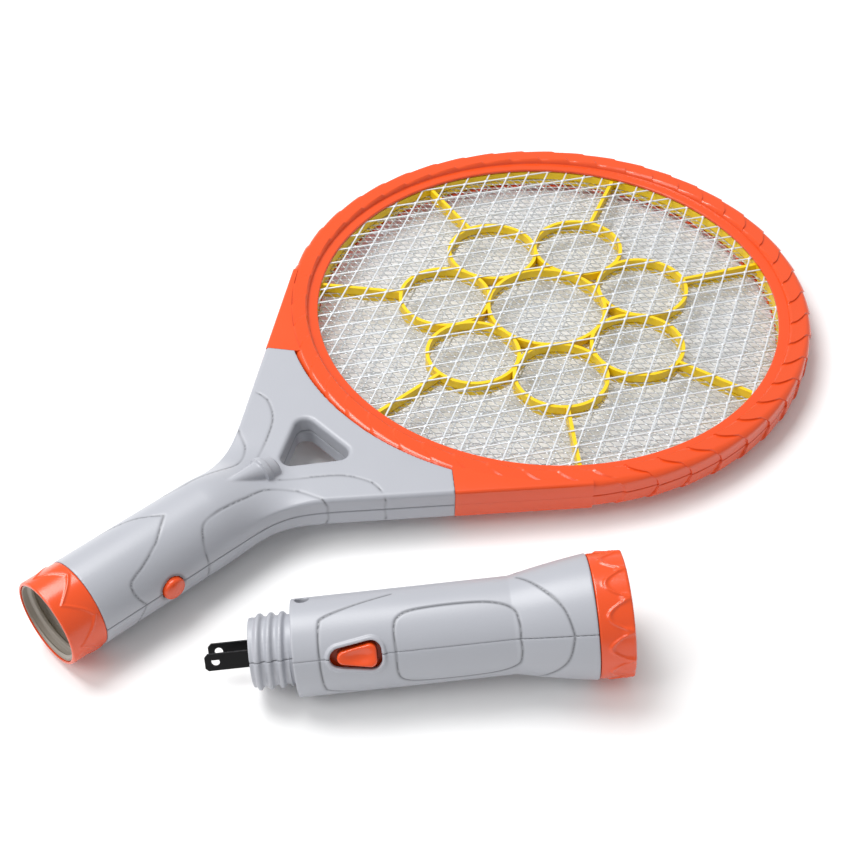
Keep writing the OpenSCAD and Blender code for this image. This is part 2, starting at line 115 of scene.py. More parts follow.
class SwatterSizes(bpy.types.PropertyGroup):
    """Sizes of the details, in millimetres"""
    groove_depth: bpy.props.FloatProperty(
        name="Groove depth", description="Depth of the moulded panel lines", default=0.4, min=0, max=1)
    groove_width: bpy.props.FloatProperty(
        name="Groove width", description="Half width of the moulded panel lines", default=0.46, min=0.2, max=2)
    shell_step: bpy.props.FloatProperty(
        name="Shell detail", description="Spacing of the points on the moulded shells", default=0.55,
        min=0.3, max=2)
    scale_count: bpy.props.IntProperty(
        name="Scales", description="Number of raised scales round the head", default=48, min=12, max=90)
    scale_step: bpy.props.FloatProperty(
        name="Scale step", description="Height of each scale above the next", default=0.75, min=0, max=2)
    diamond_length: bpy.props.FloatProperty(
        name="Diamond length", description="Length of a diamond of the outer mesh", default=19.28, min=8, max=40)
    diamond_width: bpy.props.FloatProperty(
        name="Diamond width", description="Width of a diamond of the outer mesh", default=10.47, min=5, max=30)
    strand: bpy.props.FloatProperty(
        name="Strand", description="Width of the outer mesh's strands", default=0.8, min=0.4, max=2)
    electrode_length: bpy.props.FloatProperty(
        name="Electrode diamond length", description="Length of a diamond of the electrode", default=6.9,
        min=3, max=20)
    electrode_width: bpy.props.FloatProperty(
        name="Electrode diamond width", description="Width of a diamond of the electrode", default=3.76,
        min=2, max=15)
    electrode_strand: bpy.props.FloatProperty(
        name="Electrode strand", description="Width of the electrode's strands", default=0.55, min=0.2, max=1)


class SwatterColours(bpy.types.PropertyGroup):
    """Colours of the plastics, as sRGB hex"""
    shell: bpy.props.StringProperty(name="Shells", description="White shells of both pieces", default="#A9ABB2")
    sleeve: bpy.props.StringProperty(name="Sleeve", description="Threaded sleeve in the mouth", default="#9C948A")
    orange: bpy.props.StringProperty(
        name="Orange parts", description="Frame, collar, bezel, buttons", default="#E24C14")
    yellow: bpy.props.StringProperty(name="Spacers", description="Ribs between the meshes", default="#F2CC0E")
    strand: bpy.props.StringProperty(name="Outer mesh", description="Painted strands", default="#E4E8EC")


def sizes():
    return bpy.context.scene.swatter_sizes


def colours():
    return bpy.context.scene.swatter_colours


# Small tools

def linear(hex_colour):
    """An sRGB hex colour as linear RGBA."""
    values = [int(hex_colour[i:i + 2], 16) / 255 for i in (1, 3, 5)]
    return (*[v / 12.92 if v <= 0.04045 else ((v + 0.055) / 1.055) ** 2.4 for v in values], 1.0)


def add(tree, kind, links=None, **settings):
    """Adds a node. Settings are its properties or, by name or number, its sockets; links join sockets to it."""
    made = tree.nodes.new(kind)
    for name, value in settings.items():
        if hasattr(made, name):
            setattr(made, name, value)
        else:
            made.inputs[name.replace("_", " ")].default_value = value
    for socket, source in (links or {}).items():
        tree.links.new(source, made.inputs[socket])
    return made


def object_from(name, verts, faces, panel_line_shade=None):
    """A mesh object from points in millimetres and faces."""
    mesh = bpy.data.meshes.new(name)
    mesh.from_pydata((np.asarray(verts, float) * MM).tolist(), [], [list(map(int, f)) for f in faces])
    mesh.validate()
    mesh.update()
    mesh.shade_smooth()
    # Painted shade: the optional per-point mask says how deep each point lies in a groove, and the shell material
    # darkens the colour there.
    if panel_line_shade is not None and len(panel_line_shade) == len(mesh.vertices):
        mesh.attributes.new("panel_line_shade", "FLOAT", "POINT").data.foreach_set("value", np.asarray(panel_line_shade, np.float32))
    made = bpy.data.objects.new(name, mesh)
    bpy.context.scene.collection.objects.link(made)
    return made


def paint(piece, material):
    piece.data.materials.clear()
    piece.data.materials.append(material)


def finish_piece(piece, body, material, slot, *nodes):
    """Gives a finished piece its material and its body, and hides the CAD nodes it stands for. slot is not used.
    """
    if material:
        paint(piece, material)
    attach(piece, body)
    if nodes:
        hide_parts(*nodes)


def outward(piece):
    """Merges doubles and points every face outwards."""
    bm = bmesh.new()
    bm.from_mesh(piece.data)
    bmesh.ops.remove_doubles(bm, verts=bm.verts, dist=1e-6)
    bmesh.ops.recalc_face_normals(bm, faces=bm.faces)
    bm.to_mesh(piece.data)
    bm.free()


def sharpen(piece, degrees=35):
    """Smooth faces with sharp edges where they turn by more than this."""
    piece.data.shade_smooth()
    piece.data.set_sharp_from_angle(angle=math.radians(degrees))


def cut(piece, tool, operation="DIFFERENCE"):
    """Applies a boolean with another object, which is removed."""
    modifier = piece.modifiers.new("cut", "BOOLEAN")
    modifier.object = tool
    modifier.operation = operation
    modifier.solver = "EXACT"
    freeze(piece)
    bpy.data.objects.remove(tool)


def freeze(piece):
    """Turns the evaluated shape of a piece into its plain mesh."""
    bpy.context.view_layer.update()
    graph = bpy.context.evaluated_depsgraph_get()
    mesh = bpy.data.meshes.new_from_object(piece.evaluated_get(graph), depsgraph=graph)
    piece.modifiers.clear()
    old = piece.data
    piece.data = mesh
    bpy.data.meshes.remove(old)


# Shapes given by a field: a number that is below zero inside the solid, in millimetres

def smooth_step(t):
    t = np.clip(t, 0, 1)
    return t * t * (3 - 2 * t)


def both(a, b, radius):
    """Inside a and inside b, with the edge between them rounded."""
    a, b = a + radius, b + radius
    return np.minimum(np.maximum(a, b), 0) + np.hypot(np.maximum(a, 0), np.maximum(b, 0)) - radius


def either(a, b, radius):
    """Inside a or inside b, with a fillet between them."""
    return -both(-a, -b, radius)


def triangle(x, y, left, right, half):
    """Distance to a triangle with a corner at (left, 0) and two at (right, +-half)."""
    y = np.abs(y)
    slope = math.hypot(right - left, half)
    nx, ny = -half / slope, (right - left) / slope
    along = np.clip((x - left) * ny - y * nx, 0, slope)
    edge = np.hypot(x - left - along * ny, y + along * nx)
    side = np.hypot(x - right, np.maximum(y - half, 0))
    inside = ((x - left) * nx + y * ny < 0) & (x < right)
    return np.where(inside, -np.minimum(edge, np.abs(x - right)), np.minimum(edge, side))


def curve_through(points, steps=8):
    """Points on a smooth line through the given ones."""
    p = np.array(points, float)
    ends = np.vstack([p[0], p, p[-1]])
    line = []
    for a, b, c, d in zip(ends[:-3], ends[1:-2], ends[2:-1], ends[3:]):
        for t in np.arange(steps) / steps:
            line.append(0.5 * (2 * b + (c - a) * t + (2 * a - 5 * b + 4 * c - d) * t ** 2
                               + (3 * b - a - 3 * c + d) * t ** 3))
    return np.array(line + [p[-1]])


def distance_to(line, points):
    """Shortest distance from each point to a line of points."""
    best = np.full(len(points), 1e9)
    for a, b in zip(line[:-1], line[1:]):
        d = b - a
        t = np.clip((points - a) @ d / max(d @ d, 1e-12), 0, 1)
        best = np.minimum(best, np.sum((points - a - t[:, None] * d) ** 2, axis=1))
    return np.sqrt(best)


def onto_creases(points, depth, step):
    """Slides the points next to a panel line onto it, so that the line is unbroken. The seam's points stay."""
    full, width = sizes().groove_depth, sizes().groove_width
    d = depth(points)
    slope = np.stack([(depth(points + 0.01 * np.eye(3)[i]) - d) / 0.01 for i in range(3)], 1)
    size = np.linalg.norm(slope, axis=1)
    away = width * np.sqrt(-np.log(np.clip(d / max(full, 1e-6), 1e-6, 1)))
    near = (away < 0.6 * step) & (size > 1e-3) & (np.abs(points[:, 2]) > 0.8)
    points[near] += slope[near] / size[near, None] * away[near, None]
    return points


def skin(field, low, high, step, detail=None):
    """Closed quads where the field is zero, settled on the field with its fine detail.

    Returns the points, the faces, and how deep each point lies in a panel line, from 0 to 1.
    """
    axes = [np.arange(a, b + step, step) for a, b in zip(low, high)]
    grid = np.meshgrid(*axes, indexing="ij")
    value = field(*grid)
    n = np.array(value.shape) - 1
    inside = value < 0
    corner = [(i, j, k) for i in (0, 1) for j in (0, 1) for k in (0, 1)]

    def at(array, c):
        return array[c[0]:n[0] + c[0], c[1]:n[1] + c[1], c[2]:n[2] + c[2]]

    full = sum(at(inside, c).astype(np.int8) for c in corner)
    cells = np.nonzero((full > 0) & (full < 8))
    index = np.full(n, -1)
    index[cells] = np.arange(len(cells[0]))
    total, count = np.zeros((len(cells[0]), 3)), np.zeros(len(cells[0]))
    values = {c: at(value, c)[cells] for c in corner}
    for axis in range(3):
        for c in corner:
            if c[axis]:
                continue
            far = tuple(1 if i == axis else v for i, v in enumerate(c))
            a, b = values[c], values[far]
            crossed = (a < 0) != (b < 0)
            t = np.where(crossed, a / np.where(crossed, a - b, 1), 0)
            total += crossed[:, None] * (np.array(c, float) + t[:, None] * np.eye(3)[axis])
            count += crossed
    points = (np.stack(cells, 1) + total / count[:, None]) * step + np.array([a[0] for a in axes])
    faces = []
    for axis in range(3):
        u, v = (axis + 1) % 3, (axis + 2) % 3
        low_cut, high_cut = [slice(1, -1)] * 3, [slice(1, -1)] * 3
        low_cut[axis], high_cut[axis] = slice(0, -1), slice(1, None)
        a, b = inside[tuple(low_cut)], inside[tuple(high_cut)]
        for flip, where in ((False, a & ~b), (True, ~a & b)):
            cell = np.stack(np.nonzero(where), 1)
            cell[:, [u, v]] += 1
            ring = []
            for du, dv in ((0, 0), (1, 0), (1, 1), (0, 1)):
                near = cell.copy()
                near[:, u] -= 1 - du
                near[:, v] -= 1 - dv
                ring.append(index[tuple(near.T)])
            quad = np.stack(ring, 1)
            faces.append(quad[:, ::-1] if flip else quad)
    fine = detail or field
    h = 0.01
    for _ in range(3):
        f = fine(*points.T)
        slope = np.stack([(fine(*(points + h * np.eye(3)[i]).T) - f) / h for i in range(3)], 1)
        move = f[:, None] * slope / np.maximum(np.sum(slope ** 2, axis=1), 0.25)[:, None]
        length = np.linalg.norm(move, axis=1)[:, None]
        points = points - move * np.minimum(1, 0.45 * step / np.maximum(length, 1e-9))
        if detail:
            points = onto_creases(points, lambda q: detail(*q.T) - field(*q.T), step)
    # Painted shade mask: how deep each point lies in a panel line, the seam or the ring round the button, from 0
    # to 1. The shell material darkens these points.
    panel_line_shade = np.clip((fine(*points.T) - field(*points.T)) / 0.4, 0, 1) if detail else None
    return points, np.vstack(faces), panel_line_shade


def placed(points, matrix):
    """Points moved by a matrix."""
    m = np.array(matrix)
    return points @ m[:3, :3].T + m[:3, 3]


# Materials

def principled(name, **settings):
    """A new material with these shader sockets set, its tree, its shader and the object's coordinates."""
    material = bpy.data.materials.new(name)
    material.use_nodes = True
    tree = material.node_tree
    shader = tree.nodes["Principled BSDF"]
    for socket, value in settings.items():
        shader.inputs[socket.replace("_", " ")].default_value = value
    return material, tree, shader, add(tree, "ShaderNodeTexCoord").outputs["Object"]


def blend(tree, factor, first, second):
    """A mix of two colours, each an RGBA value or a socket."""
    mix = add(tree, "ShaderNodeMix", {"Factor": factor}, data_type="RGBA")
    for socket, colour in ((6, first), (7, second)):
        if isinstance(colour, tuple):
            mix.inputs[socket].default_value = colour
        else:
            tree.links.new(colour, mix.inputs[socket])
    return mix.outputs[2]


def shaded(colour, amount):
    """A linear colour made darker."""
    return tuple(v * amount for v in colour[:3]) + (1.0,)


def roughen(tree, shader, source, low, high):
    """Lets a pattern vary the roughness between two values."""
    spread = add(tree, "ShaderNodeMapRange", {"Value": source}, To_Min=low, To_Max=high)
    tree.links.new(spread.outputs["Result"], shader.inputs["Roughness"])


def moulded(name, colour, roughness, grain=0.06, mottle=0.02, coat=0.0):
    """An injection-moulded plastic: even colour with a faint flow pattern, painted shade in its moulded grooves,
    and a skin that is nearly smooth.

    grain is the height of the fine texture of the mould, in millimetres, on bumps about 0.8 mm across; the slow
    waviness of a cooled wall, about 25 mm long, bends the highlights.
    """
    material, tree, shader, place = principled(name, IOR=1.53, Coat_Weight=coat, Coat_Roughness=0.12)
    flow = add(tree, "ShaderNodeTexNoise", {"Vector": place}, Scale=38.0, Detail=3.0, Roughness=0.5)
    base = linear(colour)
    tint = blend(tree, flow.outputs["Fac"], shaded(base, 1 - 2.5 * mottle), base)
    # Painted shade in the grooves: where the mesh's groove mask is high, the colour darkens towards 0.38 of the
    # base.
    depth = add(tree, "ShaderNodeAttribute", attribute_name="panel_line_shade")
    tree.links.new(blend(tree, depth.outputs["Fac"], tint, shaded(base, 0.38)), shader.inputs["Base Color"])
    roughen(tree, shader, flow.outputs["Fac"], roughness * 0.88, roughness * 1.14)
    fine = add(tree, "ShaderNodeTexNoise", {"Vector": place}, Scale=1250.0, Detail=2.0)
    wave = add(tree, "ShaderNodeTexNoise", {"Vector": place}, Scale=42.0, Detail=1.0)
    slow = add(tree, "ShaderNodeBump", {"Height": wave.outputs["Fac"]}, Strength=0.35, Distance=0.0003)
    bump = add(tree, "ShaderNodeBump", {"Height": fine.outputs["Fac"], "Normal": slow.outputs["Normal"]},
               Strength=0.5, Distance=grain * MM)
    tree.links.new(bump.outputs["Normal"], shader.inputs["Normal"])
    return material


def metal(name, colour, roughness, grain_scale, stretch=(1, 1, 1), metallic=1.0):
    """A metal surface with the fine marks of how it was made; stretch draws the marks out along one direction."""
    material, tree, shader, place = principled(name, Metallic=metallic)
    drawn = add(tree, "ShaderNodeMapping", {"Vector": place})
    drawn.inputs["Scale"].default_value = stretch
    marks = add(tree, "ShaderNodeTexNoise", {"Vector": drawn.outputs["Vector"]}, Scale=grain_scale, Detail=4.0)
    base = linear(colour)
    tree.links.new(blend(tree, marks.outputs["Fac"], shaded(base, 0.82), base), shader.inputs["Base Color"])
    roughen(tree, shader, marks.outputs["Fac"], roughness * 0.7, min(1.0, roughness * 1.3))
    bump = add(tree, "ShaderNodeBump", {"Height": marks.outputs["Fac"]}, Strength=0.3, Distance=0.00004)
    tree.links.new(bump.outputs["Normal"], shader.inputs["Normal"])
    return material


def clear(name, colour, roughness, ior=1.49):
    """A clear moulded plastic, as in a lens: it shows what is behind it, with faint moulding haze."""
    material, tree, shader, place = principled(name, Base_Color=linear(colour), Transmission_Weight=1.0, IOR=ior)
    flow = add(tree, "ShaderNodeTexNoise", {"Vector": place}, Scale=60.0, Detail=2.0)
    roughen(tree, shader, flow.outputs["Fac"], roughness * 0.5, roughness * 1.5)
    return material


def circuit_board(name, colour):
    """Solder mask on glass-fibre board: glossy green with the paler copper tracks showing through it."""
    material, tree, shader, place = principled(name, IOR=1.5, Roughness=0.3)
    tracks = add(tree, "ShaderNodeTexBrick", {"Vector": place}, Scale=180.0, Mortar_Size=0.05)
    base = linear(colour)
    tracks.inputs["Color1"].default_value = base
    tracks.inputs["Color2"].default_value = shaded(base, 0.85)
    tracks.inputs["Mortar"].default_value = tuple(min(1, v * 1.9) for v in base[:3]) + (1.0,)
    tree.links.new(tracks.outputs["Color"], shader.inputs["Base Color"])
    return material


FINISHES = {}


def make_finishes():
    c = colours()
    FINISHES.update({
        "shell": moulded("white_abs_shell", c.shell, 0.36),
        "sleeve": moulded("white_abs_sleeve", c.sleeve, 0.5),
        "orange": moulded("orange_abs_gloss", c.orange, 0.24, grain=0.03, coat=0.15),
        "yellow": moulded("yellow_abs_spacer", c.yellow, 0.38),
        "black": moulded("black_abs_insulator", "#17181A", 0.45),
        "cream": moulded("cream_nylon_block", "#D9D2BC", 0.5),
        "red": moulded("red_dipped_film", "#A01812", 0.25),
        "wire": moulded("red_pvc_wire", "#B0201A", 0.45),
        "wrap": moulded("blue_shrink_wrap", "#1E4C97", 0.3),
        "white_board": moulded("white_solder_mask", "#DDDDD8", 0.3),
        "board": circuit_board("green_circuit_board", "#1B5E3C"),
        "strand": metal("painted_expanded_steel", c.strand, 0.42, 900.0, metallic=0.25),
        "electrode": metal("bare_expanded_aluminium", "#D3D6D9", 0.38, 1400.0, metallic=0.6),
        "steel": metal("zinc_plated_steel", "#B9BDC2", 0.3, 1600.0, (1, 1, 0.2)),
        "brass": metal("spring_brass", "#C9A24E", 0.28, 1200.0, (0.2, 1, 1)),
        "blade": metal("black_oxide_brass", "#0D0D0F", 0.33, 1500.0, (0.25, 1, 1), metallic=0.35),
        "mirror": metal("metallised_reflector", "#E6E8EA", 0.06, 500.0),
        "lens": clear("clear_acrylic_lens", "#F4F8FA", 0.03),
        "led": clear("clear_epoxy_lamp", "#EAF0F8", 0.08, 1.53),
    })


def shell_pair(nodes, body, field, ends, half, deep, step, place=Matrix()):
    """Two moulded shells that meet at z = 0, inside a box between two ends along X, half wide and deep high."""
    for side, node in zip((1, -1), nodes):
        low = (ends[0], -half, -1.0 if side > 0 else -deep)
        high = (ends[1], half, deep if side > 0 else 1.0)
        points, faces, panel_line_shade = skin(field(side, False), low, high, step, field(side, True))
        # The groove mask goes with the mesh, so the shell material can paint shade into the panel lines.
        piece = object_from(node + "_detailed", placed(points, place), faces, panel_line_shade)
        sharpen(piece, 50)
        finish_piece(piece, body, FINISHES["shell"], "white_shell", node)


# The racket's handle and neck

def neck_outline(x, y):
    """Distance to the outline of grip and arms, seen from above."""
    y = np.abs(y)
    corner = HEAD_X - HEAD_R * math.sin(ARM_ANGLE) - (HEAD_R * math.cos(ARM_ANGLE) - GRIP_R) / math.tan(ARM_ANGLE)
    start = corner - BLEND_R * math.tan(ARM_ANGLE / 2)
    vx, vy = x - start, y - GRIP_R - BLEND_R
    angle = np.arctan2(vx, -vy)
    qx, qy = start + BLEND_R * math.sin(ARM_ANGLE), GRIP_R + BLEND_R * (1 - math.cos(ARM_ANGLE))
    arm = (y - qy) * math.cos(ARM_ANGLE) - (x - qx) * math.sin(ARM_ANGLE)
    return np.where(vx < 0, y - GRIP_R, np.where(angle <= ARM_ANGLE, BLEND_R - np.hypot(vx, vy), arm))


def arm_end(x, y):
    """Distance past the end of the white arm, where the orange shoulder begins."""
    qx, qy = HEAD_X - HEAD_R * math.sin(ARM_ANGLE), HEAD_R * math.cos(ARM_ANGLE)
    return (x - qx) * math.cos(ARM_ANGLE) + (np.abs(y) - qy) * math.sin(ARM_ANGLE) + SHOULDER_LEN


def window(x, y):
    """Distance to the rounded triangular window."""
    return triangle(x, y, 122.0, 138.0, 10.5) - 4.5


def handle_form(x, y, z):
    """The handle's outside: a round grip that flattens into the neck."""
    grip = np.hypot(y, z) - GRIP_R
    neck = both(np.maximum(neck_outline(x, y), -window(x, y)), np.abs(z) - HALF_T, 1.9)
    t = smooth_step((x - 76) / 41)
    return (1 - t) * grip + t * neck


def turned_form(x, y, z, profile):
    """A turned shape along X from (x, radius) points."""
    r = np.interp(x, [p[0] for p in profile], [p[1] for p in profile])
    return np.maximum(np.maximum(np.hypot(y, z) - r, profile[0][0] - x), x - profile[-1][0])


BOSS = [(86, 0.3), (88, 0.9), (104.6, 4.7), (105.2, 6.1), (107.6, 6.3), (108.2, 5.3), (112.2, 5.0), (113.2, 4.0)]

# Panel lines of the handle, on its surface: near the neck, round the arms, and a leaf on the grip.
HANDLE_LINES = [
    [(64, 18.5, 0), (64, 17, 8), (67.5, 12, 14.2), (75, 10.4, 15.4), (89, 10, 13.2), (101, 9.8, 9.8),
     (110.5, 16.5, 7.6), (115, 26, 7.5), (116.3, 29.2, 4), (116.3, 29.2, 0)],
    [(109, 7.5, 8.3), (121, 15.2, 7.5), (131, 23.5, 7.5), (136.4, 34, 7.5), (135.3, 43, 6), (134.6, 43.6, 0)],
    [(34, 18.5, 0), (31, 17.6, 6), (31, 14.6, 11.4), (39, 12, 14), (48, 8, 16.7), (58, 0, 18.4)],
]


def handle_field(side, fine):
    """Field of one handle shell. fine adds the panel lines."""
    lines = [curve_through(line) for line in HANDLE_LINES]
    width, depth = sizes().groove_width, sizes().groove_depth

    def field(x, y, z):
        form = handle_form(x, y, z)
        outside = form
        if fine:
            near = np.stack([x, np.abs(y), np.abs(z)], 1)
            for line in lines:
                outside = outside + depth * np.exp(-(distance_to(line, near) / width) ** 2)
            outside = outside + 0.28 * np.exp(-(z / 0.3) ** 2)
            ring = np.hypot(x - BUTTON_X, z)
            outside = outside + np.where(y < 0, 0.3 * np.exp(-((ring - 5.6) / 0.5) ** 2), 0)
        if side > 0:
            slope = (8.4 - 14.9) / 22
            boss = turned_form(x, y, z - 14.9 - slope * (x - 88), BOSS)
            outside = either(outside, boss, 0.5)
        hollow = np.maximum(form + WALL, 24.0 - x)
        seat = np.maximum(np.hypot(y, z) - 17.05, x - 24.2)
        whole = np.maximum(outside, -np.minimum(hollow, seat))
        whole = np.maximum(whole, COLLAR_LEN + 0.02 - x)
        whole = np.maximum(whole, HEAD_R + 0.15 - np.hypot(x - HEAD_X, y))
        whole = np.maximum(whole, arm_end(x, y) + 0.12)
        button = np.maximum(np.hypot(x - BUTTON_X, z) - 5.05, y + 8)
        whole = np.maximum(whole, -button)
        if side < 0:
            for sx, sy in NECK_SCREWS:
                bore = np.maximum(np.hypot(x - sx, y - sy) - 2.85, z + 5.3)
                whole = np.maximum(whole, -bore)
        return np.maximum(whole, 0.02 - side * z)
    return field


class SWATTER_OT_handle(bpy.types.Operator):
    """Two moulded handle shells with the neck, the window, the panel lines and the boss"""
    bl_idname = "swatter.handle"
    bl_label = "Handle shells"

    def execute(self, context):
        shell_pair(("handle_top_shell", "handle_bottom_shell"), "racket", handle_field,
                   (COLLAR_LEN - 1, 168), 63, 19.6, sizes().shell_step)
        return {"FINISHED"}


# Turned pieces with detail: closed meshes over a profile and an angle

def turned_mesh(rows, columns, radius_shift):
    """A closed ring of (along, radius) rows turned about X. The shift moves each row's points out by angle."""
    angles = np.arange(columns) / columns * 2 * math.pi
    points = []
    for i, (s, r) in enumerate(rows):
        radius = r + radius_shift(s, r, angles)
        points.append(np.stack([s + 0 * angles, -radius * np.cos(angles), radius * np.sin(angles)], 1))
    n = len(rows)
    faces = []
    for i in range(n):
        for j in range(columns):
            k = (j + 1) % columns
            here, ahead = i * columns, ((i + 1) % n) * columns
            faces.append((here + j, here + k, ahead + k, ahead + j))
    return np.vstack(points), faces


def turned_piece(node, body, finish, slot, rows, columns, radius_shift, place=Matrix()):
    """A finished turned piece that stands for one CAD node."""
    points, faces = turned_mesh(rows, columns, radius_shift)
    piece = object_from(node + "_detailed", placed(points, place), faces)
    outward(piece)
    sharpen(piece, 50)
    finish_piece(piece, body, FINISHES[finish], slot, node)


def rows_between(a, b, count):
    """Rows from a up to, not with, b."""
    return [(a[0] + (b[0] - a[0]) * i / count, a[1] + (b[1] - a[1]) * i / count) for i in range(count)]


def wave_ridge(middle, reach, turns, height, width, round_tip=0.5):
    """A raised line that zigzags round a turned piece."""
    def shift(s, r, angles):
        u = (angles / (2 * math.pi) * turns) % 1
        tri = 1 - np.abs(2 * u - 1)
        tip = np.sin(math.pi / 2 * tri)
        at = middle + reach * (2 * ((1 - round_tip) * tri + round_tip * tip) - 1)
        lean = math.atan(2 * math.pi * r / turns / (4 * reach))
        return height * np.exp(-((s - at) * math.sin(lean) / width) ** 2)
    return shift


class SWATTER_OT_mouth(bpy.types.Operator):
    """Orange collar with its zigzag ridge, and the threaded sleeve inside it"""
    bl_idname = "swatter.mouth"
    bl_label = "Collar and sleeve"

    def execute(self, context):
        inner = 17.02
        ridge = wave_ridge(8.6, 4.6, 6, 0.42, 0.5)

        def raised(s, r, angles):
            if r < GRIP_R - 1.2:
                return 0 * angles
            ends = smooth_step(s / 1.6) * smooth_step((COLLAR_LEN - s) / 1.4)
            return ridge(s, r, angles) * ends

        rows = [(0.1, inner), (0.02, inner + 0.5), (0.1, GRIP_R - 0.75), (0.25, GRIP_R - 0.45),
                (0.55, GRIP_R - 0.3)]
        rows += rows_between((0.9, GRIP_R - 0.26), (COLLAR_LEN - 0.6, GRIP_R - 0.2), 46)
        rows += [(COLLAR_LEN - 0.5, GRIP_R - 0.2), (COLLAR_LEN - 0.2, GRIP_R - 0.32),
                 (COLLAR_LEN - 0.04, GRIP_R - 0.6),
                 (COLLAR_LEN - 0.04, inner)]
        turned_piece("handle_collar", "racket", "orange", "orange", rows, 420, raised)

        def thread(s, r, angles):
            if r > 16.5:
                return 0 * angles
            u = ((s - 2.0) / 4.6 - angles / (2 * math.pi)) % 1
            off = np.minimum(u, 1 - u) * 4.6
            fade = smooth_step((s - 0.8) / 1.4) * smooth_step((18.9 - s) / 1.4)
            return -1.4 * fade * smooth_step((1.45 - off) / 1.0)

        rows = rows_between((0.6, 16.2), (19.45, 16.2), 96)
        rows += [(19.45, 16.2), (19.45, 16.98), (0.9, 16.98), (0.6, 16.7)]
        turned_piece("thread_sleeve", "racket", "sleeve", "white_sleeve", rows, 240, thread)
        return {"FINISHED"}


# The head

def frame_points(side, flange_z):
    """Ring of one head frame: a flange over the meshes and a band of overlapping scales."""
    s = sizes()
    count, step = s.scale_count, s.scale_step
    parts = [0.0, 0.02, 0.1, 0.25, 0.4, 0.55, 0.7, 0.85, 0.97]
    top = HALF_T - step
    rows = [(HEAD_R - 3.8, 0.04, 0, 0), (HEAD_R - 3.8, flange_z - 1.3, 0, 0), (OPEN_R, flange_z - 1.3, 0, 0),
            (OPEN_R, flange_z - 1.1, 0, 0), (OPEN_R, flange_z - 0.35, 0, 0), (OPEN_R + 0.35, flange_z, 0, 0),
            (OPEN_R + 2.5, flange_z + 0.15, 0, 0), (OPEN_R + 4.2, flange_z + 0.3, 0, 0),
            (OPEN_R + 4.45, flange_z + 0.55, 0.0, 0), (OPEN_R + 4.6, top - 0.9, 0.15, 0.0),
            (OPEN_R + 5.0, top - 0.35, 0.6, 0.02), (OPEN_R + 5.6, top, 1, 0.05)]
    for i in range(1, 9):
        rows.append((OPEN_R + 5.6 + (6.2 * i) / 8, top + 0.05 * math.sin(math.pi * i / 8), 1,
                     0.05 + 0.35 * (i / 8) ** 1.6))
    edge = HEAD_R - step
    for i in range(1, 7):
        a = math.pi / 2 * i / 6
        rows.append((edge - 2.0 + 2.0 * math.sin(a), top - 2.0 + 2.0 * math.cos(a), 1, 0.4 + 0.12 * i / 6))
    for z in np.linspace(top - 2.0, 0.5, 6)[1:]:
        rows.append((edge, z, 1, 0.52 + 0.1 * (top - z) / top))
    rows += [(edge - 0.1, 0.22, 0.9, 0.62), (edge - 0.5, 0.06, 0.5, 0.62), (edge - 1.0, 0.04, 0, 0.62)]
    columns = [(k + p) for k in range(count) for p in parts]
    points = []
    for r, z, amount, skew in rows:
        for c in columns:
            k = c % 1
            saw = max(0.0, 1 - (k - 0.02) / 0.95) if k >= 0.02 else 0.0
            rise = amount * step * saw
            angle = 2 * math.pi * (c + skew * 1.4) / count
            out = 1.0 if z <= top - 1.9 else max(0.0, (r - (edge - 2.0)) / 2.0)
            up = 1.0 - out if z > 0.5 else 0.0
            rr = r + rise * out
            points.append((HEAD_X + rr * math.cos(angle), rr * math.sin(angle), side * (z + rise * up)))
    n, m = len(rows), len(columns)
    faces = [(i * m + j, i * m + (j + 1) % m, ((i + 1) % n) * m + (j + 1) % m, ((i + 1) % n) * m + j)
             for i in range(n) for j in range(m)]
    return points, faces


def shoulder(side, mirror):
    """The smooth orange shoulder between a white arm and the head, as a solid block with rounded outer edges."""
    qx, qy = HEAD_X - HEAD_R * math.sin(ARM_ANGLE), HEAD_R * math.cos(ARM_ANGLE)
    dx, dy = math.cos(ARM_ANGLE), math.sin(ARM_ANGLE)
    outer = [(qx - dx * t, qy - dy * t) for t in np.linspace(-2.0, SHOULDER_LEN, 20)]
    inner_r = HEAD_R - 2.6
    ends = []
    for depth in (14.5, 9, 4):
        ends.append((outer[-1][0] + dy * depth, outer[-1][1] - dx * depth))
    start = math.atan2(ends[0][1], ends[0][0] - HEAD_X)
    stop = math.atan2(outer[0][1], outer[0][0] - HEAD_X)
    arc = [(HEAD_X + inner_r * math.cos(a), inner_r * math.sin(a)) for a in np.linspace(start, stop, 24)]
    outline = outer + ends[::-1] + arc
    bm = bmesh.new()
    bottom = [bm.verts.new((x * MM, mirror * y * MM, side * 0.04 * MM)) for x, y in outline]
    face = bm.faces.new(bottom)
    moved = bmesh.ops.extrude_face_region(bm, geom=[face])
    tops = [v for v in moved["geom"] if isinstance(v, bmesh.types.BMVert)]
    for v in tops:
        v.co.z = side * (HALF_T - 0.1) * MM
    bmesh.ops.recalc_face_normals(bm, faces=bm.faces)
    keep = {(round(x, 3), round(mirror * y, 3)) for x, y in outer}
    edges = [e for e in bm.edges if all((round(v.co.x / MM, 3), round(v.co.y / MM, 3)) in keep and
                                        abs(v.co.z) > 1e-3 for v in e.verts)]
    bmesh.ops.bevel(bm, geom=edges, offset=1.3 * MM, segments=4, profile=0.5, affect="EDGES")
    mesh = bpy.data.meshes.new("shoulder")
    bm.to_mesh(mesh)
    bm.free()
    made = bpy.data.objects.new("shoulder", mesh)
    bpy.context.scene.collection.objects.link(made)
    return made


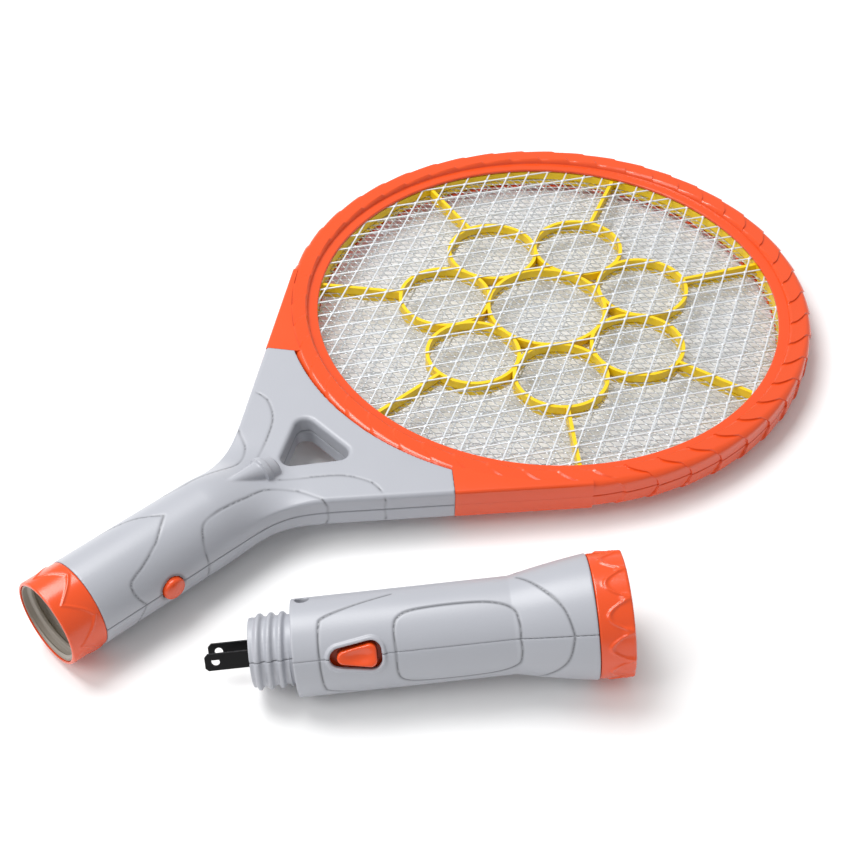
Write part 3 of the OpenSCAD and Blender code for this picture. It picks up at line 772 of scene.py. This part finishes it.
class SWATTER_OT_head_frames(bpy.types.Operator):
    """Two orange head frames with scales round the rim and smooth shoulders"""
    bl_idname = "swatter.head_frames"
    bl_label = "Head frames"

    def execute(self, context):
        low, _ = mm_box("outer_mesh_bottom")
        _, high = mm_box("outer_mesh_top")
        for side, node, flange in ((1, "head_frame_top", high[2] + 1.3), (-1, "head_frame_bottom", -low[2] + 1.3)):
            points, faces = frame_points(side, flange)
            piece = object_from(node + "_detailed", points, faces)
            outward(piece)
            for mirror in (1, -1):
                cut(piece, shoulder(side, mirror), "UNION")
            sharpen(piece, 32)
            finish_piece(piece, "racket", FINISHES["orange"], "orange", node)
        return {"FINISHED"}


# Expanded meshes, laid out by Geometry Nodes

def bond(name, length, width, strand, thick, sides):
    """One bond of an expanded mesh: a short flat bar with a half strand from each corner."""
    bm = bmesh.new()
    half = strand * 0.95
    bar = bmesh.ops.create_cube(bm, size=1)["verts"]
    for v in bar:
        v.co = Vector((v.co.x * 2 * half * 1.5, v.co.y * strand * 1.75, v.co.z * thick * 1.1))
    bmesh.ops.bevel(bm, geom=list(bm.edges), offset=min(strand, thick) * 0.22, segments=1, affect="EDGES")
    for sx in (-1, 1):
        for sy in (-1, 1):
            a = Vector((sx * half * 0.9, sy * strand * 0.3, 0))
            b = Vector((sx * length / 4 * 1.02, sy * width / 4 * 1.02, 0))
            middle = a.lerp(b, 0.35) + Vector((0, sy * strand * 0.12, 0))
            rings = []
            for p, q in ((a, middle - a), (middle, b - a), (b, Vector((sx * length, sy * width, 0)))):
                along = q.normalized()
                across = Vector((-along.y, along.x, 0))
                ring = []
                for k in range(sides):
                    t = 2 * math.pi * (k + 0.5) / sides
                    ring.append(bm.verts.new(p + across * math.cos(t) * strand * 0.5
                                             + Vector((0, 0, math.sin(t) * thick * 0.5))))
                rings.append(ring)
            for r1, r2 in zip(rings[:-1], rings[1:]):
                for k in range(sides):
                    bm.faces.new((r1[k], r1[(k + 1) % sides], r2[(k + 1) % sides], r2[k]))
            bm.faces.new(rings[0])
            bm.faces.new(rings[-1][::-1])
    bmesh.ops.recalc_face_normals(bm, faces=bm.faces)
    for v in bm.verts:
        v.co *= MM
    mesh = bpy.data.meshes.new(name)
    bm.to_mesh(mesh)
    bm.free()
    made = bpy.data.objects.new(name, mesh)
    bpy.context.scene.collection.objects.link(made)
    return made


def node_group(name, **inputs):
    """A Geometry Nodes group with these inputs and one geometry output. Returns it and its input sockets."""
    tree = bpy.data.node_groups.new(name, "GeometryNodeTree")
    for label, kind in inputs.items():
        tree.interface.new_socket(name=label, in_out="INPUT", socket_type="NodeSocket" + kind)
    tree.interface.new_socket(name="Geometry", in_out="OUTPUT", socket_type="NodeSocketGeometry")
    return tree, add(tree, "NodeGroupInput").outputs


def mesh_tree():
    """Lays a bond at each crossing of a diamond lattice inside a circle, then turns and lifts the sheet."""
    tree, given = node_group("expanded_mesh", Geometry="Geometry", Bond="Object", Length="Float", Width="Float",
                             Radius="Float", Turn="Vector", Place="Vector", Material="Material")
    span = add(tree, "ShaderNodeMath", {0: given["Radius"]}, operation="MULTIPLY")
    span.inputs[1].default_value = 2.4
    counts = []
    for size in ("Length", "Width"):
        many = add(tree, "ShaderNodeMath", {0: span.outputs[0], 1: given[size]}, operation="DIVIDE")
        whole = add(tree, "ShaderNodeMath", {0: many.outputs[0]}, operation="CEIL")
        odd = add(tree, "ShaderNodeMath", {0: whole.outputs[0]}, operation="ADD")
        odd.inputs[1].default_value = 1
        wide = add(tree, "ShaderNodeMath", {0: whole.outputs[0], 1: given[size]}, operation="MULTIPLY")
        counts.append((odd.outputs[0], wide.outputs[0]))
    grid = add(tree, "GeometryNodeMeshGrid", {"Size X": counts[0][1], "Size Y": counts[1][1],
                                               "Vertices X": counts[0][0], "Vertices Y": counts[1][0]})
    half = add(tree, "ShaderNodeCombineXYZ", {"X": given["Length"], "Y": given["Width"]})
    halved = add(tree, "ShaderNodeVectorMath", {0: half.outputs[0]}, operation="SCALE")
    halved.inputs["Scale"].default_value = 0.5
    moved = add(tree, "GeometryNodeTransform", {"Geometry": grid.outputs["Mesh"],
                                                 "Translation": halved.outputs[0]})
    lattice = add(tree, "GeometryNodeJoinGeometry")
    tree.links.new(grid.outputs["Mesh"], lattice.inputs[0])
    tree.links.new(moved.outputs[0], lattice.inputs[0])
    place = add(tree, "GeometryNodeInputPosition")
    reach = add(tree, "ShaderNodeVectorMath", {0: place.outputs[0]}, operation="LENGTH")
    outside = add(tree, "FunctionNodeCompare", {"A": reach.outputs["Value"], "B": given["Radius"]},
                  data_type="FLOAT", operation="GREATER_THAN")
    trimmed = add(tree, "GeometryNodeDeleteGeometry",
                  {"Geometry": lattice.outputs[0], "Selection": outside.outputs[0]},
                  domain="POINT")
    shape = add(tree, "GeometryNodeObjectInfo", {"Object": given["Bond"]})
    laid = add(tree, "GeometryNodeInstanceOnPoints", {"Points": trimmed.outputs[0],
                                                       "Instance": shape.outputs["Geometry"]})
    solid = add(tree, "GeometryNodeRealizeInstances", {0: laid.outputs[0]})
    turn = add(tree, "GeometryNodeTransform", {"Geometry": solid.outputs[0], "Rotation": given["Turn"],
                                                "Translation": given["Place"]})
    done = add(tree, "GeometryNodeSetMaterial", {"Geometry": turn.outputs[0], "Material": given["Material"]})
    add(tree, "NodeGroupOutput", {"Geometry": done.outputs[0]})
    return tree


def lay_out(name, tree, values, mesh=None):
    """An object whose mesh is what a tree makes from these inputs."""
    base = mesh or bpy.data.meshes.new(name)
    piece = bpy.data.objects.new(name, base)
    bpy.context.scene.collection.objects.link(piece)
    modifier = piece.modifiers.new("layout", "NODES")
    modifier.node_group = tree
    for item in tree.interface.items_tree:
        if item.item_type == "SOCKET" and item.in_out == "INPUT" and item.name in values:
            modifier[item.identifier] = values[item.name]
    freeze(piece)
    return piece


class SWATTER_OT_meshes(bpy.types.Operator):
    """The two outer meshes and the electrode between them"""
    bl_idname = "swatter.meshes"
    bl_label = "Meshes"

    def execute(self, context):
        s = sizes()
        tree = mesh_tree()
        sheets = [
            ("outer_mesh_top", s.diamond_length, s.diamond_width, s.strand, 0.7, 6, 0, "strand", "outer_wire"),
            ("outer_mesh_bottom", s.diamond_length, s.diamond_width, s.strand, 0.7, 6, 0, "strand", "outer_wire"),
            ("electrode_mesh", s.electrode_length, s.electrode_width, s.electrode_strand, 0.42, 4, 110,
             "electrode", "electrode_wire"),
        ]
        for node, length, width, strand, thick, sides, turn, finish, slot in sheets:
            shape = bond(node + "_bond", length, width, strand, thick, sides)
            low, high = mm_box(node)
            middle = (low[2] + high[2]) / 2
            piece = lay_out(node + "_detailed", tree, {
                "Bond": shape, "Length": length * MM, "Width": width * MM, "Radius": (HEAD_R - 9.5) * MM,
                "Turn": (0.0, 0.0, math.radians(turn)), "Place": (HEAD_X * MM, 0.0, middle * MM),
                "Material": FINISHES[finish]})
            bpy.data.objects.remove(shape)
            sharpen(piece, 60)
            finish_piece(piece, "racket", FINISHES[finish], slot, node)
        return {"FINISHED"}


# The torch

TORCH_LINES = [
    [(54.5, 78), (39.5, 63), (29, 50), (27, 40), (26.4, 15), (26.4, 0)],
    [(54.5, 0), (54.5, 28), (56.5, 41), (62.5, 48), (77.5, 50), (90.5, 47), (98.5, 36), (100.5, 18), (100.5, 0)],
    [(101.5, 82), (109.5, 54), (117, 27), (120, 0)],
]


def slot_shape(s, z):
    """Distance to the switch's tapered recess, on the torch's seam."""
    return triangle(s, z, SWITCH_S - 6.1, SWITCH_S + 5.3, 1.7) - 3.9


def torch_radius(s):
    t = np.clip((s - TORCH_TUBE_END) / (TORCH_FLARE_END - TORCH_TUBE_END), 0, 1)
    return TUBE_R + (FLARE_R - TUBE_R) * (1.25 * t - 0.25 * t * t)


def torch_field(side, fine):
    """Field of one torch shell along the torch's own axis."""
    lines = [curve_through(line) for line in TORCH_LINES]
    for line in lines:
        line[:, 1] = np.radians(line[:, 1]) * TUBE_R
    width, depth = sizes().groove_width, sizes().groove_depth

    def field(s, y, z):
        r = np.hypot(y, z)
        angle = np.arctan2(z, -y)
        lip = slot_shape(s, z)
        raised = np.where(y < 0, 0.8 * np.exp(-((lip - 0.75) / 0.8) ** 4), 0)
        body = both(r - torch_radius(s) - raised, np.maximum(TORCH_NECK - s, s - TORCH_FLARE_END), 0.5)
        u = ((s - 3.0) / 4.3 - angle / (2 * math.pi)) % 1
        off = np.minimum(u, 1 - u) * 4.3
        fade = smooth_step((s - 0.7) / 1.4) * smooth_step((15.3 - s) / 1.2)
        neck = both(r - 13.05 - 1.3 * fade * smooth_step((1.75 - off) / 1.45), np.maximum(-s, s - 24), 0.4)
        spigot = np.maximum(r - FLARE_R + 2.2, np.maximum(118 - s, s - TORCH_SPIGOT_END))
        form = np.minimum(np.minimum(body, neck), spigot)
        if fine:
            flat = np.stack([s, np.arctan2(np.abs(z), np.abs(y)) * TUBE_R], 1)
            for line in lines:
                form = form + depth * np.exp(-(distance_to(line, flat) / width) ** 2) * (s > TORCH_NECK + 2)
            form = form + 0.26 * np.exp(-(z / 0.28) ** 2)
        bore = np.where(s > TORCH_FLARE_END - 4, FLARE_R - 4.2, torch_radius(s) - WALL)
        bore = np.where(s < TORCH_NECK + 2.2, 11.0, bore)
        cavity = np.maximum(r - bore, -5 - s)
        whole = np.maximum(form, -cavity)
        hole = np.maximum(slot_shape(s, z), y + 8)
        whole = np.maximum(whole, -hole)
        if side > 0:
            well = np.hypot(s - SCREW_S, y)
            wall = np.maximum(well - 4.3, np.maximum(z - TUBE_R + 1, 8 - z))
            whole = np.minimum(whole, wall)
            whole = np.maximum(whole, -np.maximum(well - 2.8, 8 - z))
        return np.maximum(whole, 0.02 - side * z)
    return field


class SWATTER_OT_torch_shells(bpy.types.Operator):
    """Two torch shells with the threaded neck, the panel lines and the recess of the switch"""
    bl_idname = "swatter.torch_shells"
    bl_label = "Torch shells"

    def execute(self, context):
        shell_pair(("torch_upper_shell", "torch_lower_shell"), "torch", torch_field,
                   (-1, TORCH_SPIGOT_END + 1), 25, 25, sizes().shell_step * 0.8, TORCH)
        return {"FINISHED"}


class SWATTER_OT_bezel(bpy.types.Operator):
    """Orange bezel with a scalloped ridge that ends in bumps on its front rim"""
    bl_idname = "swatter.bezel"
    bl_label = "Bezel"

    def execute(self, context):
        base, turns, back = FLARE_R - 0.35, 12, TORCH_END - 13.3
        lens_r = FLARE_R - 1.85

        def raised(s, r, angles):
            if r < base - 1.6 or s < back:
                return 0 * angles
            u = (angles / (2 * math.pi) * turns) % 1
            tri = 1 - np.abs(2 * u - 1)
            at = TORCH_END - 0.6 - 8.6 * np.sin(math.pi / 2 * tri) ** 0.9
            ridge = np.exp(-((s - at) * 0.62 / 0.55) ** 2) * smooth_step((s - back) / 1.5)
            foot = np.exp(-(np.minimum(u, 1 - u) * 2 * math.pi * r / turns / 1.5) ** 2)
            bump = foot * smooth_step((s - TORCH_END + 5.5) / 3.0)
            fade = smooth_step((TORCH_END + 0.25 - s) / 0.9)
            return np.minimum(0.82, 0.6 * ridge + 0.75 * bump) * fade

        rows = [(back + 0.02, lens_r - 0.1), (back + 0.02, base - 0.5), (back + 0.25, base - 0.12)]
        rows += rows_between((back + 0.6, base), (TORCH_END - 1.0, base), 44)
        rows += [(TORCH_END - 1.0, base), (TORCH_END - 0.65, base - 0.08), (TORCH_END - 0.3, base - 0.32),
                 (TORCH_END - 0.08, base - 0.7), (TORCH_END, base - 1.2), (TORCH_END, lens_r - 1.7),
                 (TORCH_END - 0.2, lens_r - 2.0), (TORCH_END - 1.95, lens_r - 2.0),
                 (TORCH_END - 2.0, lens_r + 0.02), (TORCH_SPIGOT_END + 0.1, lens_r + 0.02),
                 (TORCH_SPIGOT_END, lens_r - 0.25), (back + 0.1, lens_r - 0.25)]
        turned_piece("torch_bezel", "torch", "orange", "orange", rows, 480, raised, TORCH)
        return {"FINISHED"}


class SWATTER_OT_buttons(bpy.types.Operator):
    """The torch's dished slide button and the racket's domed push button"""
    bl_idname = "swatter.buttons"
    bl_label = "Buttons"

    def execute(self, context):
        def slider(s, y, z):
            plan = triangle(s, z, SWITCH_S - 4.8, SWITCH_S + 4.9, 1.9) - 2.5
            dish = np.hypot(np.hypot((s - SWITCH_S - 0.6) * 0.62, z), y + TUBE_R + 4.3) - 4.5
            cap = both(plan, np.maximum(-y - TUBE_R - 1.1, y + 12.5), 0.9)
            cap = both(cap, -dish, 0.8)
            plate = np.maximum(np.abs(s - SWITCH_S + 0.5) - 13.2, np.abs(z) - 6.8)
            plate = np.maximum(plate, np.abs(y + 12.8) - 0.6)
            return np.minimum(cap, plate)

        points, faces, _ = skin(slider, (SWITCH_S - 15, -21, -8), (SWITCH_S + 15, -11, 8), 0.24)
        piece = object_from("torch_switch_button_detailed", placed(points, TORCH), faces)
        sharpen(piece, 50)
        finish_piece(piece, "switch", FINISHES["orange"], "orange", "torch_switch_button")

        def push(x, y, z):
            r = np.hypot(x - BUTTON_X, z)
            dome = np.sqrt(r * r + (y + GRIP_R - 11.5) ** 2) - 13.8
            stem = both(r - 4.8, np.maximum(dome, y + 13.7), 0.9)
            flange = np.maximum(r - 6.0, np.abs(y + 14.1) - 0.5)
            return np.minimum(stem, flange)

        points, faces, _ = skin(push, (39, -22, -7), (54, -13, 7), 0.22)
        piece = object_from("racket_button_detailed", points, faces)
        sharpen(piece, 50)
        finish_piece(piece, "button", FINISHES["orange"], "orange", "racket_button")
        return {"FINISHED"}


# Screws, laid out by Geometry Nodes

def screw_shape():
    """A pan-head screw with a cross recess, its head towards +Z and its underside at zero."""
    def field(x, y, z):
        r = np.hypot(x, y)
        head = both(r - SCREW_HEAD_R, np.maximum(np.hypot(r, z + 3.9) - 5.9, -z), 0.35)
        ax, ay = np.abs(x), np.abs(y)
        blade = np.minimum(np.maximum(ax - 0.42, ay - 1.7), np.maximum(ay - 0.42, ax - 1.7))
        recess = np.maximum(blade - 0.08, 0.75 - z)
        shank = np.maximum(r - 1.28, np.maximum(z - 0.2, -z - 10.4))
        return np.minimum(np.maximum(head, -recess), shank)
    points, faces, _ = skin(field, (-3.4, -3.4, -11), (3.4, 3.4, 2.6), 0.2)
    return object_from("screw", points, faces)


def screw_tree():
    """Sets a screw on each point, turned the same way."""
    tree, given = node_group("set_screws", Geometry="Geometry", Screw="Object", Turn="Vector", Material="Material")
    shape = add(tree, "GeometryNodeObjectInfo", {"Object": given["Screw"]})
    laid = add(tree, "GeometryNodeInstanceOnPoints", {"Points": given["Geometry"],
                                                       "Instance": shape.outputs["Geometry"],
                                                       "Rotation": given["Turn"]})
    solid = add(tree, "GeometryNodeRealizeInstances", {0: laid.outputs[0]})
    done = add(tree, "GeometryNodeSetMaterial", {"Geometry": solid.outputs[0], "Material": given["Material"]})
    add(tree, "NodeGroupOutput", {"Geometry": done.outputs[0]})
    return tree


class SWATTER_OT_screws(bpy.types.Operator):
    """Three screws under the neck and one in the torch"""
    bl_idname = "swatter.screws"
    bl_label = "Screws"

    def execute(self, context):
        tree, shape = screw_tree(), screw_shape()
        neck = [(x, y, -5.3) for x, y in NECK_SCREWS]
        torch = [tuple(TORCH @ Vector((SCREW_S, 0, 8)))]
        for name, body, places, turn in (("neck_screws", "racket", neck, (math.pi, 0.0, 0.0)),
                                         ("torch_screws", "torch", torch, tuple(TORCH.to_euler()))):
            mesh = bpy.data.meshes.new(name)
            mesh.from_pydata([tuple(v * MM for v in p) for p in places], [], [])
            piece = lay_out(name + "_detailed", tree,
                            {"Screw": shape, "Turn": turn, "Material": FINISHES["steel"]}, mesh)
            sharpen(piece, 45)
            finish_piece(piece, body, FINISHES["steel"], "screw_steel", name)
        bpy.data.objects.remove(shape)
        return {"FINISHED"}


CARRIED = {
    "spacer_upper": "yellow", "spacer_lower": "yellow", "contact_block": "cream", "contact_springs": "brass",
    "high_voltage_board": "board", "transformer": "black", "capacitor": "red", "push_switch": "black",
    "electrode_leads": "wire", "torch_lens": "lens", "torch_reflector": "mirror", "led_board": "white_board",
    "leds": "led", "charging_board": "board", "torch_switch_body": "black", "plug_carrier": "black",
    "plug_blades": "blade", "battery_cell": "wrap",
}


class SWATTER_OT_carried(bpy.types.Operator):
    """Finishes for the pieces whose CAD shape is kept"""
    bl_idname = "swatter.carried"
    bl_label = "Kept pieces"

    def execute(self, context):
        for node, finish in CARRIED.items():
            piece = NODES[node]
            if not piece.material_slots:
                piece.data.materials.append(FINISHES[finish])
            for place in piece.material_slots:
                place.material = FINISHES[finish]
        return {"FINISHED"}


# Floor, light and camera

def soft_light(name, place, target, size, power):
    data = bpy.data.lights.new(name, "AREA")
    data.shape = "RECTANGLE"
    data.size, data.size_y = size
    data.energy = power
    lamp = bpy.data.objects.new(name, data)
    lamp.location = place
    lamp.rotation_euler = (Vector(target) - Vector(place)).to_track_quat("-Z", "Y").to_euler()
    bpy.context.scene.collection.objects.link(lamp)
    return lamp


class SWATTER_OT_stage(bpy.types.Operator):
    """Pale floor under both pieces, soft studio light, and the camera"""
    bl_idname = "swatter.stage"
    bl_label = "Stage"

    def execute(self, context):
        reach = 6.0
        corners = [(x, y, (-GRIP_R - 0.1) * MM + (x - GRIP_LEN * MM) * TABLE_SLOPE)
                   for x, y in ((-reach, -reach), (reach, -reach), (reach, reach), (-reach, reach))]
        mesh = bpy.data.meshes.new("floor")
        mesh.from_pydata(corners, [], [(0, 1, 2, 3)])
        floor = bpy.data.objects.new("floor", mesh)
        context.scene.collection.objects.link(floor)
        paint(floor, principled("white_paper_sweep", Base_Color=linear("#F6F6F6"), Roughness=0.9)[0])

        world = bpy.data.worlds.new("white_studio")
        context.scene.world = world
        world.use_nodes = True
        sky = world.node_tree.nodes["Background"]
        sky.inputs["Color"].default_value = linear("#FFFFFF")
        sky.inputs["Strength"].default_value = 0.52
        context.scene.view_settings.view_transform = "Standard"
        middle = (0.2, -0.02, 0.0)
        soft_light("overhead_softbox", (0.05, 0.55, 1.25), middle, (0.9, 0.8), 18.0)
        soft_light("left_softbox", (-0.9, 0.25, 0.9), middle, (0.6, 0.8), 6.0)

        data = bpy.data.cameras.new("camera")
        data.sensor_width = 36.0
        data.lens = 68.71
        data.clip_start, data.clip_end = 0.01, 50
        camera = bpy.data.objects.new("camera", data)
        yaw, pitch, roll = (math.radians(v) for v in (43.306, 43.856, -0.342))
        ahead = Vector((math.sin(yaw) * math.cos(pitch), math.cos(yaw) * math.cos(pitch), -math.sin(pitch)))
        right = Vector((math.cos(yaw), -math.sin(yaw), 0))
        down = ahead.cross(right)
        right, down = (math.cos(roll) * right + math.sin(roll) * down,
                       -math.sin(roll) * right + math.cos(roll) * down)
        camera.matrix_world = Matrix.Translation((-0.1642, -0.3841, 0.4832)) @ Matrix(
            (right, -down, -ahead)).transposed().to_4x4()
        context.scene.collection.objects.link(camera)
        context.scene.camera = camera
        return {"FINISHED"}


OPERATORS = (SWATTER_OT_handle, SWATTER_OT_mouth, SWATTER_OT_head_frames, SWATTER_OT_meshes,
             SWATTER_OT_torch_shells,
             SWATTER_OT_bezel, SWATTER_OT_buttons, SWATTER_OT_screws, SWATTER_OT_carried, SWATTER_OT_stage)


class SWATTER_PT_panel(bpy.types.Panel):
    """Sizes, colours and pieces of the fly swatter"""
    bl_idname = "SWATTER_PT_panel"
    bl_label = "Fly swatter"
    bl_space_type = "VIEW_3D"
    bl_region_type = "UI"
    bl_category = "Swatter"

    def draw(self, context):
        column = self.layout.column()
        for group in (context.scene.swatter_sizes, context.scene.swatter_colours):
            for name in group.__annotations__:
                column.prop(group, name)
        for operator in OPERATORS:
            column.operator(operator.bl_idname)


CLASSES = (SwatterSizes, SwatterColours, *OPERATORS, SWATTER_PT_panel)


def register():
    for item in CLASSES:
        bpy.utils.register_class(item)
    bpy.types.Scene.swatter_sizes = bpy.props.PointerProperty(type=SwatterSizes)
    bpy.types.Scene.swatter_colours = bpy.props.PointerProperty(type=SwatterColours)


def unregister():
    del bpy.types.Scene.swatter_sizes
    del bpy.types.Scene.swatter_colours
    for item in reversed(CLASSES):
        bpy.utils.unregister_class(item)


def main():
    register()
    make_finishes()
    for operator in OPERATORS:
        group, name = operator.bl_idname.split(".")
        getattr(getattr(bpy.ops, group), name)()


if __name__ == "__main__":
    main()
